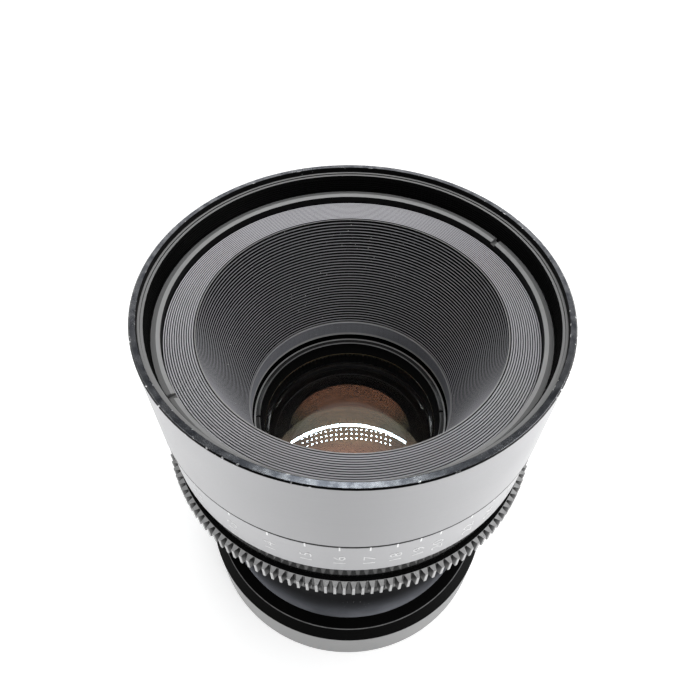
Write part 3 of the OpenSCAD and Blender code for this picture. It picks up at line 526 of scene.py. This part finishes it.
dress(screw_steel, "housing_screws", "rear_cell_screws")
dress(bronze, "helicoid_ring", "focus_bearing_rear", "focus_bearing_front")
dress(shim_brass, "mount_shim")
dress(glass_finish("glass_front", (0.97, 0.96, 0.9, 1.0), 1.62, coat=1.0), "element_1")
dress(glass_finish("glass_second", (0.95, 0.9, 0.8, 1.0), 1.7), "element_2")
dress(glass_finish("glass_third", (0.95, 0.93, 0.85, 1.0), 1.65), "element_3")
dress(glass_finish("glass_fourth", (0.95, 0.95, 0.9, 1.0), 1.65), "element_4")
dress(glass_finish("glass_fifth", (0.95, 0.95, 0.9, 1.0), 1.7), "element_5")
dress(glass_finish("glass_rear", (0.96, 0.96, 0.92, 1.0), 1.62), "element_6")
dress(blade_finish(), *["iris_blade_%d" % i for i in range(1, 9)])


def clear_selection():
    bpy.ops.object.select_all(action="DESELECT")


def finished(piece, name, body, finish):
    """Name a piece, put its place in its mesh, give it its finish and let it ride."""
    piece.name = name
    piece.data.name = name
    clear_selection()
    piece.select_set(True)
    bpy.context.view_layer.objects.active = piece
    bpy.ops.object.transform_apply(location=True, rotation=True, scale=True)
    piece.data.materials.clear()
    piece.data.materials.append(finish.material)
    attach(piece, body)


def joined(parts):
    """Several modelled copies as one piece."""
    clear_selection()
    for part in parts:
        part.select_set(True)
    bpy.context.view_layer.objects.active = parts[0]
    bpy.ops.object.join()
    return parts[0]


def wrapped(piece, radius, degrees):
    """Lay a flat mark, drawn on the XZ plane with Y as its depth, round the axis at an angle."""
    turn = math.radians(degrees)
    for vertex in piece.data.vertices:
        flat = vertex.co.copy()
        angle = turn + flat.x / radius
        out = radius - flat.y
        vertex.co = Vector((out * math.cos(angle), out * math.sin(angle), flat.z))
    return piece


def edit_all():
    """Open the active mesh with all of it selected."""
    bpy.ops.object.mode_set(mode="EDIT")
    bpy.ops.mesh.select_all(action="SELECT")


def leave_edit():
    bpy.ops.object.mode_set(mode="OBJECT")


# Engraved marks: how far they stand proud, and a digit's height as a share of its font size
PROUD = 0.03 * MM
DIGIT_SHARE = 0.69


def tick_mark(width, foot, top):
    """One engraved line, a bevelled bar drawn flat."""
    clear_selection()
    bpy.ops.mesh.primitive_cube_add(size=1.0, location=(0, 0, (foot + top) / 2))
    bar = bpy.context.object
    bar.scale = (width, PROUD * 2, top - foot)
    bpy.ops.object.transform_apply(location=True, rotation=True, scale=True)
    edit_all()
    bpy.ops.mesh.bevel(offset=PROUD * 0.4, segments=1)
    leave_edit()
    return bar


def number_mark(words, height, middle, thin, wide, upright=False):
    """One number, raised a hair, drawn flat with its middle at a height."""
    clear_selection()
    bpy.ops.object.text_add(location=(0, 0, 0))
    label = bpy.context.object
    label.data.body = words
    label.data.align_x = "CENTER"
    label.data.align_y = "CENTER"
    label.data.size = height / DIGIT_SHARE
    label.data.space_character = 1.1
    label.data.resolution_u = 3
    label.data.extrude = PROUD
    label.data.offset = -thin
    bpy.ops.object.convert(target="MESH")
    label = bpy.context.object
    low = min(v.co.y for v in label.data.vertices)
    high = max(v.co.y for v in label.data.vertices)
    for vertex in label.data.vertices:
        along = vertex.co.x * wide
        up = vertex.co.y - (low + high) / 2
        depth = -vertex.co.z
        if upright:
            vertex.co = Vector((along, depth, middle + up))
        else:
            vertex.co = Vector((-up, depth, middle + along))
    edit_all()
    bpy.ops.mesh.normals_make_consistent(inside=False)
    leave_edit()
    return label


# Focus scale: near distances spread out, far ones close up, as a thread of constant lead gives
FAR_MARK = 38.65
NEAR_SPREAD = 2081.0
NUMBERED = [8, 9, 10, 11, 12, 13, 14, 15, 16, 17, 18, 19, 20, 22, 24, 27, 30, 35, 42, 54, 80]
BETWEEN = [8.5, 9.5, 10.5]
LONG_TICK = 2.0 * MM
SHORT_TICK = 1.2 * MM
FOCUS_TICK_WIDTH = 0.42 * MM
TICK_DROP = 0.75 * MM
FOCUS_DIGIT = 3.2 * MM
FOCUS_DIGIT_DROP = 9.2 * MM


def focus_angle(distance):
    return FAR_MARK - NEAR_SPREAD / distance


def focus_tick(long, degrees):
    """One line of the focus scale, hung from just under the seam."""
    top = band_top - TICK_DROP
    bar = tick_mark(FOCUS_TICK_WIDTH, top - long, top)
    return wrapped(bar, band_radius, degrees)


def focus_scale():
    ticks = [focus_tick(LONG_TICK, focus_angle(distance)) for distance in NUMBERED]
    ticks += [focus_tick(SHORT_TICK, focus_angle(distance)) for distance in BETWEEN]
    ticks.append(focus_tick(LONG_TICK, FAR_MARK))
    finished(joined(ticks), "focus_ticks", "focus", white_fill)
    labels = []
    for distance in NUMBERED:
        middle = band_top - FOCUS_DIGIT_DROP
        label = number_mark(str(distance), FOCUS_DIGIT, middle, thin=0.07 * MM, wide=1.22)
        labels.append(wrapped(label, band_radius, focus_angle(distance)))
    finished(joined(labels), "focus_numbers", "focus", pale_fill)


# Iris scale and the fixed lines that both scales are read at, on two opposite sides
STOPS = ["1.4", "2", "2.8", "4", "5.6", "8", "11", "16", "22"]
FIRST_STOP = -20.0
STOP_STEP = 4.5
SIDES = (0.0, 180.0)
INDEX_WIDTH = 0.4 * MM
IRIS_TICK_WIDTH = 0.3 * MM
IRIS_DIGIT = 1.9 * MM
IRIS_DIGIT_RISE = 4.6 * MM


def iris_scale():
    ticks = []
    labels = []
    for i, stop in enumerate(STOPS):
        where = FIRST_STOP - i * STOP_STEP
        for side in SIDES:
            bar = tick_mark(IRIS_TICK_WIDTH, iris_foot + 0.7 * MM, iris_foot + 2.4 * MM)
            ticks.append(wrapped(bar, iris_radius, where + side))
            middle = iris_foot + IRIS_DIGIT_RISE
            label = number_mark(stop, IRIS_DIGIT, middle, thin=0.02 * MM, wide=0.82, upright=True)
            labels.append(wrapped(label, iris_radius, where + side))
    finished(joined(ticks), "iris_ticks", "iris_control", white_fill)
    finished(joined(labels), "iris_numbers", "iris_control", white_fill)


def index_lines():
    lines = []
    for side in SIDES:
        bar = tick_mark(INDEX_WIDTH, front_foot + 0.5 * MM, front_foot + 6.5 * MM)
        lines.append(wrapped(bar, front_radius, side))
        bar = tick_mark(INDEX_WIDTH, waist_top - 5.0 * MM, waist_top - 0.4 * MM)
        lines.append(wrapped(bar, waist_radius, FIRST_STOP + side))
    finished(joined(lines), "index_lines", "barrel", white_fill)


def filter_thread():
    """Fine thread in the front bore: one tooth outline wound up the wall."""
    pitch = 0.75 * MM
    turns = 6
    turn_steps = 128
    tooth_height = 0.28 * MM
    half_crest = 0.08 * MM
    sunk = 0.05 * MM
    middle = filter_foot + 0.2 * MM
    clear_selection()
    bpy.ops.mesh.primitive_plane_add(
        size=pitch * 0.9, location=(filter_radius, 0, middle), rotation=(math.pi / 2, 0, 0)
    )
    outline = bpy.context.object
    bpy.ops.object.transform_apply(location=True, rotation=True, scale=True)
    for vertex in outline.data.vertices:
        if vertex.co.x < filter_radius:
            vertex.co.x = filter_radius - tooth_height
            vertex.co.z = middle + (half_crest if vertex.co.z > middle else -half_crest)
        else:
            vertex.co.x = filter_radius + sunk
    edit_all()
    bpy.ops.mesh.delete(type="ONLY_FACE")
    leave_edit()
    winding = outline.modifiers.new("winding", "SCREW")
    winding.angle = 2 * math.pi
    winding.screw_offset = pitch
    winding.iterations = turns
    winding.steps = turn_steps
    winding.render_steps = turn_steps
    winding.use_normal_calculate = True
    bpy.ops.object.modifier_apply(modifier="winding")
    edit_all()
    bpy.ops.mesh.remove_doubles(threshold=0.001 * MM)
    bpy.ops.mesh.select_all(action="DESELECT")
    bpy.ops.mesh.select_non_manifold()
    bpy.ops.mesh.edge_face_add()
    bpy.ops.mesh.select_all(action="SELECT")
    bpy.ops.mesh.normals_make_consistent(inside=False)
    leave_edit()
    finished(outline, "filter_thread_turns", "barrel", thread_black)


focus_scale()
iris_scale()
index_lines()
filter_thread()


# Stage: pale table and sky
TABLE_SIZE = 6.0
SKY_LIGHT = 0.16


def pale_table():
    """Table that takes the shadow and is white to the eye; in metal it glows grey, with a painted shadow in
    a strip along the lens and painted light to the right.
    """
    clear_selection()
    bpy.ops.mesh.primitive_plane_add(size=TABLE_SIZE, location=(0, 0, 0))
    table = bpy.context.object
    table.name = "table"
    f = Finish("pale_table", Roughness=0.6, Emission_Strength=1.0)
    direct = f.seen_by("Is Camera Ray").most(f.seen_by("Is Transmission Ray"))
    # Painted shadow: in metal the table is dark in a strip in front of and behind the lens.
    beside = f.x.size().ramp(0.01, 0.2)
    colour = f.mix(f.noise(3.0, 2.0), grey(0.86), grey(0.88))
    eye_glow = f.mix(f.radius.ramp(0.6, 2.0), grey(0.45), grey(0.95))
    # Painted light: in metal the table is lighter to the right than to the left.
    side_glow = f.mix(f.x.ramp(-0.05, 0.15), grey(0.78), grey(1.05))
    metal_glow = f.mix(beside, grey(0.3), side_glow)
    glow = f.mix(direct, grey(0.0), eye_glow)
    glow = f.mix(f.seen_by("Is Glossy Ray"), glow, metal_glow)
    f.feed(Base_Color=colour, Emission_Color=glow)
    table.data.materials.append(f.material)


def studio_sky():
    """White behind the lens to the eye, dim and even as light on it."""
    world = bpy.data.worlds.new("studio")
    bpy.context.scene.world = world
    sky = Sky(world)
    sky.shader.inputs["Color"].default_value = (0.97, 0.985, 1.0, 1.0)
    sky.feed(Strength=sky.seen_by("Is Camera Ray").ramp(0.0, 1.0, SKY_LIGHT, 1.0))


# Lamps and cards: places and sizes in metres, each aimed at a height on the lens's axis
WAIST_AIM = (0, 0, 0.07)
BAND_AIM = (0, 0, 0.1)
FRONT_AIM = (0, 0, 0.13)
DOT_ACROSS = 0.058
DOT_ALONG = 0.062
DOT_FLATTEN = 1.7
DOT_REACH = 0.045
CELL_SHIFT = 100.5
BAND_BOW = 0.3
WARM_BANDS = (
    (-0.5, -0.3, (0.72, 0.38, 0.25, 1.0)),
    (0.02, 0.08, (0.9, 0.46, 0.37, 1.0)),
    (0.4, 0.95, (0.24, 0.235, 0.19, 1.0)),
)


def aimed(place, aim):
    """The turn that points a lamp or card at a place."""
    return (Vector(aim) - Vector(place)).to_track_quat("-Z", "Y").to_euler()


def soft_lamp(name, place, aim, size, power, in_metal=False):
    """A soft rectangle that lights matte faces, or one that only shines in metal."""
    lamp = bpy.data.lights.new(name, "AREA")
    lamp.shape = "RECTANGLE"
    lamp.size, lamp.size_y = size
    lamp.energy = power
    holder = bpy.data.objects.new(name, lamp)
    bpy.context.scene.collection.objects.link(holder)
    holder.location = place
    holder.rotation_euler = aimed(place, aim)
    holder.visible_glossy = in_metal
    holder.visible_transmission = False
    holder.visible_diffuse = not in_metal


def dot_mask(f, bend):
    """Rows of round dots that follow the bow of a card."""
    across = (f.x / DOT_ACROSS + CELL_SHIFT).fraction() - 0.5
    row = f.y + f.x * f.x * bend
    along = (row / DOT_ALONG + CELL_SHIFT).fraction() - 0.5
    return across * across + along * along * DOT_FLATTEN < DOT_REACH


def glow_card(name, place, aim, size, colour, strength, shown_in, bow=0.0, dots=False, bands=()):
    """A bowed card that shows only in a clear mirror, only through the glass, or only in satin faces."""
    wide, long = size
    clear_selection()
    bpy.ops.mesh.primitive_grid_add(x_subdivisions=24, y_subdivisions=2, size=1.0)
    card = bpy.context.object
    card.name = name
    for vertex in card.data.vertices:
        vertex.co = Vector((vertex.co.x * wide, vertex.co.y * long - bow * vertex.co.x ** 2, 0.0))
    card.location = place
    card.rotation_euler = aimed(place, aim)
    f = Finish(name, Base_Color=grey(0.0), Specular_IOR_Level=0.0, Emission_Strength=strength)
    shown = f.seen_by("Is Transmission Ray" if shown_in == "glass" else "Is Singular Ray")
    if shown_in == "satin":
        shown = 1.0 - shown
    if dots:
        shown = shown * dot_mask(f, bow / wide ** 2)
    tone = colour
    reach = f.y + f.x * f.x * BAND_BOW
    for low, high, next_colour in bands:
        tone = f.mix(reach.ramp(low, high), tone, next_colour)
    f.feed(Emission_Color=f.mix(shown, grey(0.0), tone), Alpha=shown)
    f.material.cycles.emission_sampling = "FRONT_BACK" if shown_in == "satin" else "NONE"
    card.data.materials.append(f.material)
    card.visible_camera = False
    card.visible_diffuse = False
    card.visible_shadow = False
    card.visible_glossy = shown_in != "glass"
    card.visible_transmission = shown_in == "glass"


def studio_lights():
    soft_lamp("overhead", (0.15, 0.0, 1.55), BAND_AIM, (0.9, 0.9), 15.5)
    soft_lamp("behind_left", (-0.8, -1.3, 1.1), WAIST_AIM, (0.9, 0.9), 3.5)
    soft_lamp("behind_right", (0.8, -1.3, 1.1), WAIST_AIM, (0.9, 0.9), 8.5)
    soft_lamp("beyond", (0.0, 0.75, 1.4), FRONT_AIM, (0.9, 0.3), 1.5)
    soft_lamp("back_card", (0.0, 1.6, 1.15), FRONT_AIM, (3.4, 0.8), 7.5, in_metal=True)
    soft_lamp("right_card", (1.4, -0.2, 0.45), BAND_AIM, (1.0, 0.8), 13.0, in_metal=True)
    soft_lamp("left_card", (-1.4, -0.2, 0.45), BAND_AIM, (1.0, 0.8), 5.0, in_metal=True)
    glow_card("panel", (-0.01, 0.69, 1.46), FRONT_AIM, (0.3, 0.2), (0.93, 0.98, 1.0, 1.0), 8.0, "satin")
    glow_card(
        "strip_light", (-0.04, 0.77, 1.56), FRONT_AIM, (1.5, 0.042), (0.8, 1.0, 1.1, 1.0), 25.0, "mirror",
        bow=-0.7
    )
    glow_card(
        "dotted_panel", (-0.04, 0.63, 1.56), FRONT_AIM, (1.1, 0.186), (0.8, 1.0, 1.15, 1.0), 22.0, "mirror",
        bow=-0.25, dots=True
    )
    glow_card(
        "warm_card", (0.0, 0.0, 1.55), BAND_AIM, (3.0, 2.4), (0.42, 0.4, 0.33, 1.0), 2.0, "glass",
        bands=WARM_BANDS
    )
    glow_card("olive_card", (0.0, 1.6, 1.15), FRONT_AIM, (3.4, 0.8), (0.62, 1.0, 1.0, 1.0), 0.6, "glass")


# Camera fitted to the photograph: place in metres, turns in radians, focal length in pixels of the image
EYE = Vector((0.0005, -0.1122, 0.2466))
PITCH = math.radians(50.13)
ROLL = math.radians(1.38)
YAW = math.radians(0.53)
FOCAL_PIXELS = 600.0
IMAGE_PIXELS = 700.0
SENSOR = 36.0


def photo_camera():
    right = Vector((math.cos(YAW), math.sin(YAW), 0))
    ahead = Vector((-math.sin(YAW) * math.cos(PITCH), math.cos(YAW) * math.cos(PITCH), -math.sin(PITCH)))
    down = ahead.cross(right)
    across = right * math.cos(ROLL) - down * math.sin(ROLL)
    upward = -(right * math.sin(ROLL) + down * math.cos(ROLL))
    lens = bpy.data.cameras.new("photo_camera")
    lens.sensor_width = SENSOR
    lens.lens = SENSOR * FOCAL_PIXELS / IMAGE_PIXELS
    lens.clip_start = 0.005
    camera = bpy.data.objects.new("photo_camera", lens)
    bpy.context.scene.collection.objects.link(camera)
    turn = Matrix((across, upward, -ahead)).transposed().to_4x4()
    camera.matrix_world = Matrix.Translation(EYE) @ turn
    bpy.context.scene.camera = camera
    bpy.context.scene.view_settings.view_transform = "Standard"


pale_table()
studio_sky()
studio_lights()
photo_camera()
